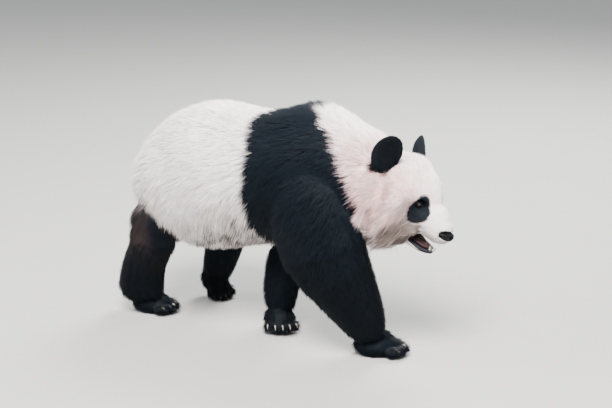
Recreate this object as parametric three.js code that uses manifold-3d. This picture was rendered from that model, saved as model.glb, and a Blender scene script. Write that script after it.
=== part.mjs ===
// A giant panda in mid walk: a still, life-size model, with its solids out to the tips of the coat.
// Millimetres, +Z up. While it is shaped, X runs from the rump to the nose, Y to the animal's left, and the
// floor is Z = 0. The finished group is moved so that its origin is the middle of its box, on the floor.
import * as THREE from "three";
import { mergeVertices } from "three/addons/utils/BufferGeometryUtils.js";
import Module from "manifold-3d";

const wasm = await Module();
wasm.setup();

// ---------- driving dimensions ----------
const cutGap = 0.4; // open joint between two pieces that meet
const eyeRadius = 12;
const clawLength = 28;
const clawRadius = 6;
const farAway = 2000; // half the side of a cutting block

const coat = {
  white: { color: 0xf2ebe4, roughness: 0.95 },
  black: { color: 0x14161b, roughness: 0.9 },
  eye: { color: 0x1a0f0a, roughness: 0.15 },
  nose: { color: 0x17171a, roughness: 0.45 },
  tongue: { color: 0xb56a62, roughness: 0.5 },
};

// ---------- small helpers ----------
const vec = (x, y, z) => new THREE.Vector3(x, y, z);
const radians = THREE.MathUtils.degToRad;
const lerp = THREE.MathUtils.lerp;

// A smooth line through [x, value] pairs, as a function of x.
function profile(points) {
  const slope = (i) => {
    const before = points[Math.max(i - 1, 0)];
    const after = points[Math.min(i + 1, points.length - 1)];
    return (after[1] - before[1]) / (after[0] - before[0]);
  };
  return (x) => {
    const at = THREE.MathUtils.clamp(x, points[0][0], points[points.length - 1][0]);
    let i = points.findIndex((p) => p[0] > at) - 1;
    if (i < 0) i = points.length - 2;
    const [[x0, v0], [x1, v1]] = [points[i], points[i + 1]];
    const span = x1 - x0;
    const t = (at - x0) / span;
    const rise = 3 * t * t - 2 * t * t * t;
    const leave = t * t * t - 2 * t * t + t;
    const arrive = t * t * t - t * t;
    return v0 + (v1 - v0) * rise + (slope(i) * leave + slope(i + 1) * arrive) * span;
  };
}

const manifoldOf = (numbers, triangles) =>
  new wasm.Manifold(new wasm.Mesh({ numProp: 3, vertProperties: numbers, triVerts: triangles }));

// A closed solid from a unit sphere whose points (share along its axis from 0 to 1, angle round it) are moved
// by shape(along, angle).
function solidOf([around, rings], shape) {
  const sphere = new THREE.SphereGeometry(1, around, rings);
  sphere.deleteAttribute("normal");
  sphere.deleteAttribute("uv");
  const ball = mergeVertices(sphere, 1e-5);
  const place = ball.attributes.position;
  const numbers = new Float32Array(place.count * 3);
  for (let i = 0; i < place.count; i++) {
    const polar = Math.acos(THREE.MathUtils.clamp(place.getY(i), -1, 1));
    const angle = Math.atan2(place.getZ(i), place.getX(i));
    shape(polar / Math.PI, angle).toArray(numbers, i * 3);
  }
  const triangles = new Uint32Array(ball.index.array);
  const made = manifoldOf(numbers, triangles);
  if (made.volume() > 0) return made;
  return manifoldOf(numbers, triangles.map((_, i, all) => all[i % 3 === 0 ? i : i % 3 === 1 ? i + 1 : i - 1]));
}

// Everything on the side of a plane that its normal points to, as one very large block.
function halfSpace(point, normal) {
  const towards = normal.clone().normalize();
  const turn = new THREE.Quaternion().setFromUnitVectors(vec(0, 0, 1), towards);
  const middle = point.clone().addScaledVector(towards, farAway);
  const block = new THREE.BoxGeometry(2 * farAway, 2 * farAway, 2 * farAway);
  block.applyMatrix4(new THREE.Matrix4().compose(middle, turn, vec(1, 1, 1)));
  block.deleteAttribute("normal");
  block.deleteAttribute("uv");
  const closed = mergeVertices(block, 1e-3);
  return manifoldOf(closed.attributes.position.array, new Uint32Array(closed.index.array));
}

// 1 along most of the way and 0 at both ends; a higher power makes the ends blunter.
const roundedEnds = (along, power) => Math.pow(Math.max(0, 1 - Math.pow(Math.abs(2 * along - 1), power)), 1 / power);

// A limb: a tube with round ends along a smooth line through its stations, each at a point, with one radius
// fore and aft and one from side to side. extra makes it thicker all round.
function limb(stations, detail, extra = 0) {
  const line = new THREE.CatmullRomCurve3(stations.map((s) => vec(...s.at)), false, "centripetal");
  const last = stations.length - 1;
  const foreAft = profile(stations.map((s, i) => [i / last, s.deep]));
  const sideways = profile(stations.map((s, i) => [i / last, s.wide]));
  return solidOf(detail, (polar, angle) => {
    const along = (1 - Math.cos(polar * Math.PI)) / 2;
    const tangent = line.getTangent(along);
    const side = vec(0, 1, 0).addScaledVector(tangent, -tangent.y).normalize();
    const front = new THREE.Vector3().crossVectors(side, tangent);
    const round = roundedEnds(along, 4);
    return line
      .getPoint(along)
      .addScaledVector(front, Math.cos(angle) * (foreAft(along) + extra) * round)
      .addScaledVector(side, Math.sin(angle) * (sideways(along) + extra) * round)
      .addScaledVector(tangent, Math.sign(along - 0.5) * (1 - round) * extra);
  });
}

// An ellipsoid in a frame of its own, carried into place by a matrix.
function ellipsoid(centre, radii, matrix, detail) {
  return solidOf(detail, (polar, angle) => {
    const ring = Math.sin(polar * Math.PI);
    const x = Math.cos(polar * Math.PI);
    return vec(
      centre[0] + radii[0] * x,
      centre[1] + radii[1] * ring * Math.cos(angle),
      centre[2] + radii[2] * ring * Math.sin(angle),
    ).applyMatrix4(matrix);
  });
}

// ---------- trunk and neck: upright slices from the rump to inside the head ----------
const trunk = {
  rear: -90,
  front: 930,
  rumpRound: 175,
  widestAt: 0.44, // share of the height at which a slice is widest
  ridge: profile([[-90, 545], [-20, 636], [80, 708], [220, 751], [400, 746], [520, 765], [610, 788], [700, 775], [800, 728], [930, 676]]),
  belly: profile([[-90, 384], [0, 338], [100, 272], [230, 250], [420, 292], [600, 338], [740, 392], [930, 395]]),
  halfWidth: profile([[-90, 176], [0, 210], [200, 236], [400, 232], [600, 196], [760, 154], [930, 135]]),
};

function trunkSolid(extra = 0) {
  return solidOf([26, 22], (polar, angle) => {
    const along = (1 - Math.cos(polar * Math.PI)) / 2;
    const x = lerp(trunk.rear, trunk.front, along);
    const rearward = Math.max(0, 1 - (x - trunk.rear) / trunk.rumpRound);
    const forward = Math.max(0, 1 - (trunk.front - x) / 60);
    const round = Math.pow(1 - Math.pow(rearward, 2.3), 1 / 2.3) * Math.sqrt(1 - forward * forward);
    const low = trunk.belly(x) - extra;
    const high = trunk.ridge(x) + extra;
    const middle = lerp(low, high, trunk.widestAt);
    const up = Math.sin(angle);
    const reach = up > 0 ? high - middle : middle - low;
    const outward = x + extra * (forward - rearward);
    return vec(outward, Math.cos(angle) * (trunk.halfWidth(x) + extra) * round, middle + up * reach * round);
  });
}

// ---------- head ----------
const head = {
  centre: [950, 30, 523],
  yaw: 12, // turned a little to its left
  pitch: 20, // nose down
  roll: -10, // left ear lower
};
// Head frame: X towards the nose, Y to the left, Z to the crown.
const headFrame = new THREE.Matrix4()
  .makeRotationFromEuler(new THREE.Euler(radians(head.roll), radians(head.pitch), radians(head.yaw), "ZYX"))
  .setPosition(...head.centre);

// Rounded masses of the skull, each a centre and three radii; those with twin set are on both sides.
const skullMasses = {
  cranium: { at: [-21, 0, 20], size: [95, 108, 108] },
  brow: { at: [37, 0, 19], size: [58, 40, 68] },
  cheek: { at: [-5, 84, -43], size: [46, 62, 77], twin: true },
  ruff: { at: [-19, 70, -110], size: [93, 40, 65], twin: true },
  throat: { at: [-60, 0, -60], size: [74, 98, 88] },
  lip: { at: [56, 36, -58], size: [44, 30, 32], twin: true },
  nape: { at: [-78, 0, 74], size: [66, 80, 54] },
  snoutRoot: { at: [64, 0, -46], size: [60, 50, 46] },
};
const melt = 12; // how far two masses melt into each other

function distanceToMass(point, at, size) {
  const p = [point.x - at[0], point.y - at[1], point.z - at[2]];
  const near = Math.hypot(p[0] / size[0], p[1] / size[1], p[2] / size[2]);
  const steep = Math.hypot(p[0] / size[0] ** 2, p[1] / size[1] ** 2, p[2] / size[2] ** 2);
  return steep > 0 ? (near * (near - 1)) / steep : -Math.min(...size);
}

function skullDistance(point) {
  let sum = 0;
  for (const { at, size, twin } of Object.values(skullMasses)) {
    sum += Math.exp(-distanceToMass(point, at, size) / melt);
    if (twin) sum += Math.exp(-distanceToMass(point, [at[0], -at[1], at[2]], size) / melt);
  }
  return -melt * Math.log(sum);
}

// How far along a ray from a point inside the skull its surface lies.
function reachOf(start, ray, extra = 0) {
  const at = (reach) => start.clone().addScaledVector(ray, reach);
  let outside = 280;
  let inside = outside;
  while (inside > 0 && skullDistance(at(inside)) > extra) {
    outside = inside;
    inside -= 6;
  }
  for (let i = 0; i < 14; i++) {
    const middle = (outside + inside) / 2;
    if (skullDistance(at(middle)) > extra) outside = middle;
    else inside = middle;
  }
  return inside;
}

// The skull's surface, found along rays from a point inside it; the sphere's axis runs to the nose.
function skullSolid(extra = 0) {
  const heart = vec(-10, 0, -20);
  return solidOf([22, 17], (polar, angle) => {
    const turn = polar * Math.PI;
    const ray = vec(Math.cos(turn), Math.sin(turn) * Math.cos(angle), Math.sin(turn) * Math.sin(angle));
    return heart.clone().addScaledVector(ray, reachOf(heart, ray, extra)).applyMatrix4(headFrame);
  });
}

// A tube inside the head: stations are [forward, up, deep, wide] in the head's frame, on its middle plane.
const headTube = (stations, detail, extra = 0) =>
  limb(
    stations.map(([forward, up, deep, wide]) => ({ at: vec(forward, 0, up).applyMatrix4(headFrame).toArray(), deep, wide })),
    detail,
    extra,
  );
const muzzle = [[24, -32, 50, 62], [68, -33, 58, 60], [100, -47, 56, 54], [132, -61, 47, 45], [156, -65, 38, 36], [173, -65, 27, 24]];
const jaw = [[-20, -92, 34, 56], [50, -114, 24, 47], [98, -128, 18, 38], [142, -131, 12, 26]];
const mouth = [[52, -99, 4, 90], [100, -112, 7, 90], [190, -124, 10, 90]];
const tongue = [[20, -106, 8, 22], [84, -117, 7, 23], [124, -124, 5, 17]];

const eye = { side: 61, up: 2, sunk: 9 }; // sunk: how far its middle lies under the surface
eye.forward = reachOf(vec(0, eye.side, eye.up), vec(1, 0, 0)) - eye.sunk;
const ear = { height: 71, width: 49, thick: 17 };
const earPlaces = {
  ear_left: { side: 1, at: [-49, 117, 99], lean: -24, splay: 5, facing: 38 }, // turned forwards
  ear_right: { side: -1, at: [-94, 114, 104], lean: 16, splay: 14, facing: 50 }, // turned outwards
};
const nose = { at: [149, 0, -64], size: [31, 40, 18] };

// An ear is a cupped disc that faces forwards and outwards; side is +1 on the left.
function earSolid({ side, at, lean, splay, facing }, extra = 0) {
  const turn = new THREE.Euler(radians(-side * splay), radians(lean), radians(side * facing), "ZYX");
  const frame = new THREE.Matrix4().makeRotationFromEuler(turn).setPosition(at[0], side * at[1], at[2]);
  return solidOf([14, 10], (polar, angle) => {
    const ring = Math.sin(polar * Math.PI);
    const across = ring * Math.cos(angle) * (ear.width + extra);
    const upward = -Math.cos(polar * Math.PI) * (ear.height + extra);
    const cup = 0.0035 * (across * across + upward * upward);
    const deep = ring * Math.sin(angle) * (ear.thick + extra);
    return vec(deep + cup - 6, across, upward).applyMatrix4(frame).applyMatrix4(headFrame);
  });
}

// ---------- legs, each with the plane that parts it from the body, and its paw ----------
const legs = {
  foreleg_right: {
    stations: [
      { at: [600, -92, 620], deep: 122, wide: 80 },
      { at: [676, -130, 480], deep: 162, wide: 94 },
      { at: [752, -136, 320], deep: 152, wide: 92 },
      { at: [822, -84, 165], deep: 102, wide: 78 },
      { at: [858, -46, 56], deep: 76, wide: 66 },
    ],
    top: { at: [700, -140, 380], tilt: -28 },
    wrist: { height: 92, tilt: -10 },
    paw: { at: [872, -28, 26], heading: 26, length: 94, width: 66, pitch: 0 },
  },
  foreleg_left: {
    stations: [
      { at: [560, 90, 610], deep: 115, wide: 80 },
      { at: [520, 128, 450], deep: 120, wide: 84 },
      { at: [478, 88, 300], deep: 92, wide: 76 },
      { at: [454, 34, 160], deep: 70, wide: 64 },
      { at: [455, 14, 56], deep: 70, wide: 62 },
    ],
    top: { at: [510, 120, 390], tilt: 10 },
    wrist: { height: 88, tilt: 0 },
    paw: { at: [468, -2, 26], heading: -48, length: 88, width: 62, pitch: 0 },
  },
  hindleg_right: {
    stations: [
      { at: [100, -90, 520], deep: 124, wide: 92 },
      { at: [74, -128, 390], deep: 104, wide: 98 },
      { at: [40, -136, 270], deep: 76, wide: 88 },
      { at: [-4, -130, 185], deep: 75, wide: 80 },
      { at: [-34, -118, 90], deep: 90, wide: 72 },
      { at: [-30, -110, 40], deep: 84, wide: 62 },
    ],
    top: { at: [50, -140, 345], tilt: 22 },
    wrist: { height: 90, tilt: 6 },
    paw: { at: [0, -100, 26], heading: 14, length: 90, width: 62, pitch: 0 },
  },
  hindleg_left: {
    stations: [
      { at: [150, 96, 500], deep: 125, wide: 84 },
      { at: [146, 144, 350], deep: 102, wide: 90 },
      { at: [120, 160, 230], deep: 74, wide: 76 },
      { at: [92, 158, 130], deep: 62, wide: 64 },
      { at: [82, 154, 76], deep: 54, wide: 56 },
    ],
    top: { at: [150, 146, 345], tilt: 8 },
    wrist: { height: 112, tilt: 20 },
    paw: { at: [74, 152, 50], heading: -14, length: 76, width: 56, pitch: 36 },
  },
};

const toes = { count: 5, radius: 19, spread: 0.74, reach: 0.86 };

// A paw: a broad low pad with five toes on an arc in front and a claw on each.
function pawSolid(paw) {
  const turn = new THREE.Euler(0, radians(paw.pitch), radians(paw.heading), "ZYX");
  const frame = new THREE.Matrix4().makeRotationFromEuler(turn).setPosition(...paw.at);
  const ahead = vec(Math.cos(radians(paw.heading)), Math.sin(radians(paw.heading)), 0);
  const pieces = [
    ellipsoid([-8, 0, 8], [paw.length * 0.84, paw.width * 0.92, 46], frame, [12, 7]),
    ellipsoid([-paw.length * 0.2, 0, 34], [paw.length * 0.62, paw.width * 0.8, 46], frame, [8, 5]), // instep
  ];
  for (let i = 0; i < toes.count; i++) {
    const fan = (2 * i) / (toes.count - 1) - 1; // -1 on the right, +1 on the left
    const across = fan * toes.spread * paw.width;
    const forward = paw.length * toes.reach * Math.sqrt(1 - 0.42 * fan * fan);
    pieces.push(ellipsoid([forward - 14, across, -1], [30, toes.radius, 24], frame, [6, 5]));
    const root = vec(forward + 6, across * 1.04, 6).applyMatrix4(frame);
    root.z = Math.max(root.z, 16);
    const stations = [0, 0.5, 1].map((t) => ({
      at: root.clone().addScaledVector(ahead, clawLength * t).add(vec(0, 0, -12 * t * t)).toArray(),
      deep: clawRadius * (1 - 0.8 * t),
      wide: clawRadius * 0.8 * (1 - 0.8 * t),
    }));
    pieces.push(limb(stations, [4, 3]));
  }
  return wasm.Manifold.union(pieces).simplify(5);
}

// ---------- tail ----------
const tailStations = [
  { at: [-40, 0, 560], deep: 34, wide: 42 },
  { at: [-84, 0, 522], deep: 30, wide: 42 },
  { at: [-98, 0, 468], deep: 25, wide: 36 },
  { at: [-94, 0, 415], deep: 15, wide: 22 },
];

// ---------- the solids, melted together and then parted by thin cuts ----------
const underFloor = halfSpace(vec(0, 0, 0), vec(0, 0, -1));
const pieces = {};
const skull = skullSolid();
const skullBed = skullSolid(cutGap);
const trunkBed = trunkSolid(cutGap);
const snoutDetail = [14, 10];
const jawDetail = [12, 8];
const mouthGap = headTube(mouth, [12, 8]);
let body = wasm.Manifold.union([trunkSolid(), skull, headTube(muzzle, snoutDetail)]).subtract(mouthGap);

pieces.lower_jaw = headTube(jaw, jawDetail).subtract(skullBed).subtract(headTube(muzzle, snoutDetail, cutGap)).subtract(mouthGap);
body = body.subtract(headTube(jaw, jawDetail, cutGap).subtract(skull));

// Ears, eyes, nose and tongue: each sits on or in the head, with an open joint round it.
for (const [name, place] of Object.entries(earPlaces))
  pieces[name] = earSolid(place).subtract(skullBed).subtract(trunkBed);
for (const [name, side] of [["eye_left", 1], ["eye_right", -1]]) {
  const ball = (radius) => ellipsoid([eye.forward, side * eye.side, eye.up], [radius, radius, radius], headFrame, [10, 7]);
  pieces[name] = ball(eyeRadius);
  body = body.subtract(ball(eyeRadius + cutGap));
}
pieces.nose_pad = ellipsoid(nose.at, nose.size, headFrame, [12, 7]);
body = body.subtract(ellipsoid(nose.at, nose.size.map((r) => r + cutGap), headFrame, [12, 7]));
pieces.tongue = headTube(tongue, [10, 7]);
body = body.subtract(headTube(tongue, [10, 7], cutGap));
pieces.lower_jaw = pieces.lower_jaw.subtract(headTube(tongue, [10, 7], cutGap));

// Takes what lies beyond all the planes off the body, and leaves the open joint on the body's side.
function partOff(planes) {
  let piece = body;
  let bed = null;
  for (const { point, normal } of planes) {
    const towards = normal.clone().normalize();
    piece = piece.intersect(halfSpace(point, towards));
    const raised = halfSpace(point.clone().addScaledVector(towards, -cutGap), towards);
    bed = bed ? bed.intersect(raised) : raised;
  }
  body = body.subtract(bed);
  return [piece, bed];
}
let headSide;
let neckSide;
[pieces.head, headSide] = partOff([
  { point: vec(-104, 0, 0).applyMatrix4(headFrame), normal: vec(1, 0, 0).transformDirection(headFrame) },
  { point: vec(835, 0, 430), normal: vec(0.95, 0, 0.31) },
]);
// The white of the neck runs back in a point over the withers, and forwards down both sides.
[pieces.neck, neckSide] = partOff([
  { point: vec(560, 0, 775), normal: vec(1, 0.35, 1) },
  { point: vec(560, 0, 775), normal: vec(1, -0.35, 1) },
]);
const throatBed = trunkBed.intersect(headSide).add(trunkBed.intersect(neckSide)).add(skullBed);

for (const [name, leg] of Object.entries(legs)) {
  const down = (tilt) => vec(-Math.sin(radians(tilt)), 0, -Math.cos(radians(tilt)));
  const topDown = down(leg.top.tilt);
  const topPoint = vec(...leg.top.at);
  const detail = [14, 13];
  const solid = limb(leg.stations, detail).subtract(underFloor).subtract(throatBed);
  const lower = solid.intersect(halfSpace(topPoint, topDown)).add(pawSolid(leg.paw)).subtract(underFloor);
  const wristPoint = vec(leg.paw.at[0], leg.paw.at[1], leg.wrist.height);
  const wristDown = down(leg.wrist.tilt);
  pieces[name] = lower.subtract(halfSpace(wristPoint, wristDown));
  pieces[name.replace("leg", "paw")] = lower.intersect(halfSpace(wristPoint.addScaledVector(wristDown, cutGap), wristDown));
  const bed = limb(leg.stations, detail, cutGap).intersect(halfSpace(topPoint.addScaledVector(topDown, -cutGap), topDown));
  body = body.add(solid).subtract(bed);
}

pieces.tail = limb(tailStations, [10, 8]).subtract(trunkBed);
[pieces.shoulders] = partOff([{ point: vec(476, 0, 500), normal: vec(1, 0, 0) }]);
pieces.trunk = body;

const looks = {
  head: "white", neck: "white", trunk: "white", tail: "white", lower_jaw: "white",
  eye_left: "eye", eye_right: "eye", nose_pad: "nose", tongue: "tongue",
};

const box = wasm.Manifold.union(Object.values(pieces)).boundingBox();
const shift = [-(box.min[0] + box.max[0]) / 2, -(box.min[1] + box.max[1]) / 2, -box.min[2]];

const panda = new THREE.Group();
panda.name = "giant_panda";
panda.userData.shift = shift;
for (const [name, solid] of Object.entries(pieces)) {
  const mesh = solid.translate(shift).getMesh();
  const geometry = new THREE.BufferGeometry();
  geometry.setAttribute("position", new THREE.BufferAttribute(new Float32Array(mesh.vertProperties), 3));
  geometry.setIndex(new THREE.BufferAttribute(new Uint32Array(mesh.triVerts), 1));
  const part = new THREE.Mesh(geometry, new THREE.MeshStandardMaterial(coat[looks[name] ?? "black"]));
  part.name = name;
  panda.add(part);
}

export default panda;
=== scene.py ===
# Giant panda, standing: one skin, a coat of tufts, eyes, nose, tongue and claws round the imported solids.
# Metres, +Z up, +X towards the nose, +Y to the animal's left.
import math

import bmesh
import bpy
import numpy as np
from mathutils import Matrix, Vector, kdtree, noise
from mathutils.bvhtree import BVHTree


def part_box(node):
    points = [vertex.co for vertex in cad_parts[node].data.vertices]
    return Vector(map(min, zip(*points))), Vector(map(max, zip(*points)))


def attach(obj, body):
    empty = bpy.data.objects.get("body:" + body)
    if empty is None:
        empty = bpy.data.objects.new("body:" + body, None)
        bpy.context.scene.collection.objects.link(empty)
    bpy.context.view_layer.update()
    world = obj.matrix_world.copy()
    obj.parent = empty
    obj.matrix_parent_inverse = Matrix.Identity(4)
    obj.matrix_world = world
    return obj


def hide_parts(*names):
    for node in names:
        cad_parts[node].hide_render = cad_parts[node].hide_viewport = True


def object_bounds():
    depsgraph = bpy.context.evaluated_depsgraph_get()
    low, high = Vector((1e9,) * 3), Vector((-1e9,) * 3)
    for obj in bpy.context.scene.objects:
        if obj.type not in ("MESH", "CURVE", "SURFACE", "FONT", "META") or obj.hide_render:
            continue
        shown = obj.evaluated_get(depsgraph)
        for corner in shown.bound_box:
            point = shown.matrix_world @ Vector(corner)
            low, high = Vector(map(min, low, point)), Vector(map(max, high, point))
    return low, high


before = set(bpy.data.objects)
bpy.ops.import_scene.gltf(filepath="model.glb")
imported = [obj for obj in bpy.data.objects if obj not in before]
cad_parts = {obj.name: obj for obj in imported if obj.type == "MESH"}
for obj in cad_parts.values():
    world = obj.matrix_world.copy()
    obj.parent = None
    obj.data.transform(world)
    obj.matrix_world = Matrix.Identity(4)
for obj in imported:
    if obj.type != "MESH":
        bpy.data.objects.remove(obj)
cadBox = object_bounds()
dice = np.random.default_rng(11)
rearmost = -0.1225  # the right hind heel, in the sizes the solids were drawn to
shift = cadBox[0].x - rearmost  # from those sizes to the frame's X

cameraPlan = {
    "place": (3.6307 + shift, -4.3675, 1.8243),
    "azimuth": 35.0,  # degrees round from square on to the right flank
    "down": 14.51,
    "lens": 100.0,
}


def makeCamera(plan):
    data = bpy.data.cameras.new("camera")
    data.lens = plan["lens"]
    camera = bpy.data.objects.new("camera", data)
    bpy.context.scene.collection.objects.link(camera)
    camera.location = plan["place"]
    camera.rotation_euler = (math.radians(90 - plan["down"]), 0, math.radians(plan["azimuth"]))
    bpy.context.scene.camera = camera


makeCamera(cameraPlan)

# the head's own frame: X to the nose, Y to the left, Z to the crown
headPlan = {"centre": (0.950 + shift, 0.030, 0.523), "yaw": 12, "pitch": 20, "roll": -10}


def frameOf(place, yaw, pitch, roll=0):
    turn = Matrix.Rotation(math.radians(yaw), 4, "Z") @ Matrix.Rotation(math.radians(pitch), 4, "Y")
    return Matrix.Translation(place) @ turn @ Matrix.Rotation(math.radians(roll), 4, "X")


headFrame = frameOf(headPlan["centre"], headPlan["yaw"], headPlan["pitch"], headPlan["roll"])
headTurn = np.array(headFrame.to_3x3())


def toHead(points):
    return (points - np.array(headFrame.translation)) @ headTurn


def fromHead(points):
    return np.asarray(points) @ headTurn.T + np.array(headFrame.translation)


def smooth(low, high, value):
    t = np.clip((value - low) / (high - low), 0, 1)
    return t * t * (3 - 2 * t)


def unit(vectors):
    return vectors / np.maximum(np.linalg.norm(vectors, axis=-1, keepdims=True), 1e-9)


def bell(points, centre, radius):
    away = np.linalg.norm(points - np.array(centre), axis=-1) / radius
    return np.exp(-away * away)


def bells(points, spots):  # each spot has a place, a radius and a share
    return sum(share * bell(points, place, radius) for place, radius, share in spots)


def turned(along, aside, angle):
    return along * np.cos(angle)[:, None] + aside * np.sin(angle)[:, None]


def flattened(vectors, normals):  # what of them lies in the surface
    return vectors - normals * np.sum(vectors * normals, axis=1, keepdims=True)


def mirrored(inHead):  # the head's right half laid over its left
    return np.where((False, True, False), np.abs(inHead), inHead)


def rough(points, scale, seed=0.0):
    offset = Vector((seed, seed * 1.7, seed * 0.6))
    return np.array([noise.noise(Vector(p) * scale + offset) for p in points])


def newObject(name, mesh):
    piece = bpy.data.objects.new(name, mesh)
    bpy.context.scene.collection.objects.link(piece)
    return piece


def meshOf(shape, name):  # the shape is used up
    mesh = bpy.data.meshes.new(name)
    shape.to_mesh(mesh)
    shape.free()
    return mesh


def shapeOf(mesh):
    shape = bmesh.new()
    shape.from_mesh(mesh)
    return shape


def fetch(items, key, width, kind=np.float32):
    flat = np.empty(len(items) * width, kind)
    items.foreach_get(key, flat)
    return flat.reshape(-1, width)


def readPoints(mesh):
    return fetch(mesh.vertices, "co", 3).astype(float)


def writePoints(mesh, points):
    mesh.vertices.foreach_set("co", points.astype(np.float32).ravel())
    mesh.update()


def readNormals(mesh):
    return fetch(mesh.vertex_normals, "vector", 3).astype(float)


def setAttribute(mesh, name, values):
    values = np.asarray(values, np.float32)
    if values.ndim == 1:
        mesh.attributes.new(name, "FLOAT", "POINT").data.foreach_set("value", values)
    else:
        mesh.attributes.new(name, "FLOAT_COLOR", "POINT").data.foreach_set("color", values.ravel())


def applyModifiers(piece):
    graph = bpy.context.evaluated_depsgraph_get()
    finished = bpy.data.meshes.new_from_object(piece.evaluated_get(graph))
    piece.modifiers.clear()
    piece.data = finished


def meshTree(mesh):
    return BVHTree.FromPolygons([v.co for v in mesh.vertices], [p.vertices[:] for p in mesh.polygons])


class Web:  # a mesh's edges, for evening values out between neighbours
    def __init__(self, mesh):
        self.a, self.b = fetch(mesh.edges, "vertices", 2, np.int32).T
        self.count = len(mesh.vertices)
        meetings = np.bincount(self.a, minlength=self.count) + np.bincount(self.b, minlength=self.count)
        self.shared = np.maximum(meetings, 1)

    def average(self, values):
        if values.ndim > 1:
            return np.stack([self.average(column) for column in values.T], axis=1)
        total = np.bincount(self.a, values[self.b], self.count)
        return (total + np.bincount(self.b, values[self.a], self.count)) / self.shared

    def spread(self, values, turns):
        for _ in range(turns):
            values = 0.5 * values + 0.5 * self.average(values)
        return values


# the solids of flesh as one surface
groups = ["trunk", "shoulders", "neck", "head", "jaw", "ear", "leg", "paw", "tail"]
skinPlan = {  # relax and melt hold one value for each group
    "voxel": 0.0035,
    "relax": (1.0, 1.0, 1.0, 0.3, 0.05, 0.05, 0.8, 0.08, 0.5),
    "relaxTurns": 60,
    "melt": (0.8, 1.0, 0.8, 0.05, 0.0, 0.0, 0.15, 0.0, 0.0),  # how far the folds between the solids melt away
    "meltTurns": 70,
    "keep": 0.32,  # share of the faces that stays, but for the muzzle and brow
    "thickest": 0.3,  # the coat takes at most this share of a thin part
    "thinnest": 0.0015,
    "bridge": {"at": (0.100, 0.004, 0.004), "radius": 0.050, "rise": 0.008, "towards": (1.0, 0.1, 0.35)},
    "earReach": 0.006,
    "eyeFine": 0.024,  # radius round an eye that is cut twice as fine, twice
}
groupOf = {"trunk": "trunk", "shoulders": "shoulders", "neck": "neck", "head": "head", "lower_jaw": "jaw",
           "ear_left": "ear", "ear_right": "ear", "tail": "tail"}
for side in ("left", "right"):
    for place, group in (("foreleg", "leg"), ("hindleg", "leg"), ("forepaw", "paw"), ("hindpaw", "paw")):
        groupOf[place + "_" + side] = group
sharpGroups = [groups.index(g) for g in ("head", "jaw", "ear")]


def shareOf(shares, *names):
    return sum(shares[:, groups.index(name)] for name in names)


def gatherSolids(names):
    gathered = bmesh.new()
    owners = []
    for name in names:
        gathered.from_mesh(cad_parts[name].data)
        owners += [name] * (len(gathered.faces) - len(owners))
    return gathered, owners


def largestPart(mesh):
    shape = shapeOf(mesh)
    seen = [False] * len(shape.verts)
    parts = []
    for start in shape.verts:
        if seen[start.index]:
            continue
        seen[start.index] = True
        part, front = [start], [start]
        while front:
            vert = front.pop()
            for edge in vert.link_edges:
                other = edge.other_vert(vert)
                if not seen[other.index]:
                    seen[other.index] = True
                    part.append(other)
                    front.append(other)
        parts.append(part)
    parts.sort(key=len)
    for part in parts[:-1]:
        bmesh.ops.delete(shape, geom=part, context="VERTS")
    shape.to_mesh(mesh)
    shape.free()
    return len(parts)


def groupShares(points, tree, owners, web, turns):
    shares = np.zeros((len(points), len(groups)))
    for i, p in enumerate(points):
        shares[i, groups.index(groupOf[owners[tree.find_nearest(p)[2]]])] = 1
    return web.spread(shares, turns)


def buildSkin(plan):
    names = sorted(groupOf)
    gathered, owners = gatherSolids(names)
    tree = BVHTree.FromBMesh(gathered)
    bmesh.ops.remove_doubles(gathered, verts=gathered.verts, dist=1e-5)
    skin = newObject("skin", meshOf(gathered, "skin"))
    remesh = skin.modifiers.new("remesh", "REMESH")
    remesh.mode = "VOXEL"
    remesh.voxel_size = plan["voxel"]
    applyModifiers(skin)
    parts = largestPart(skin.data)
    print("skin: remeshed", len(skin.data.vertices), "points,", parts, "part(s)")

    web = Web(skin.data)
    points = readPoints(skin.data)
    outside = meshTree(skin.data)
    shares = groupShares(points, tree, owners, web, 6)
    strength = (shares @ plan["relax"])[:, None]
    for _ in range(plan["relaxTurns"]):  # in and back out, so that the form keeps its size
        points += 0.5 * strength * (web.average(points) - points)
        points -= 0.51 * strength * (web.average(points) - points)
    strength = (shares @ plan["melt"])[:, None]
    for _ in range(plan["meltTurns"]):
        points += 0.5 * strength * (web.average(points) - points)
    writePoints(skin.data, points)

    inHead = toHead(points)
    face = smooth(-0.01, 0.03, inHead[:, 0]) * smooth(0.13, 0.10, np.abs(inHead[:, 1]))
    face *= shareOf(shares, "head", "jaw")
    thin = skin.vertex_groups.new(name="thin")
    steps = np.round(np.clip(1 - face, 0, 1) * 10) / 10  # a few weights, set in bulk
    for level in np.unique(steps):
        if level > 0:
            thin.add(np.nonzero(steps == level)[0].tolist(), float(level), "REPLACE")
    decimate = skin.modifiers.new("decimate", "DECIMATE")
    decimate.ratio = plan["keep"]
    decimate.vertex_group = "thin"
    decimate.use_collapse_triangulate = True
    applyModifiers(skin)
    skin.vertex_groups.clear()
    print("skin: thinned to", len(skin.data.polygons), "faces")
    return skin, tree, owners, outside


def cutFiner(mesh, centre, radius, turns):
    shape = shapeOf(mesh)
    for _ in range(turns):
        near = [e for e in shape.edges if ((e.verts[0].co + e.verts[1].co) / 2 - centre).length < radius]
        bmesh.ops.subdivide_edges(shape, edges=near, cuts=1, use_grid_fill=True)
        bmesh.ops.triangulate(shape, faces=[f for f in shape.faces if len(f.verts) > 3])
    shape.to_mesh(mesh)
    shape.free()


skin, solidTree, solidOwners, outsideTree = buildSkin(skinPlan)

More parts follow.
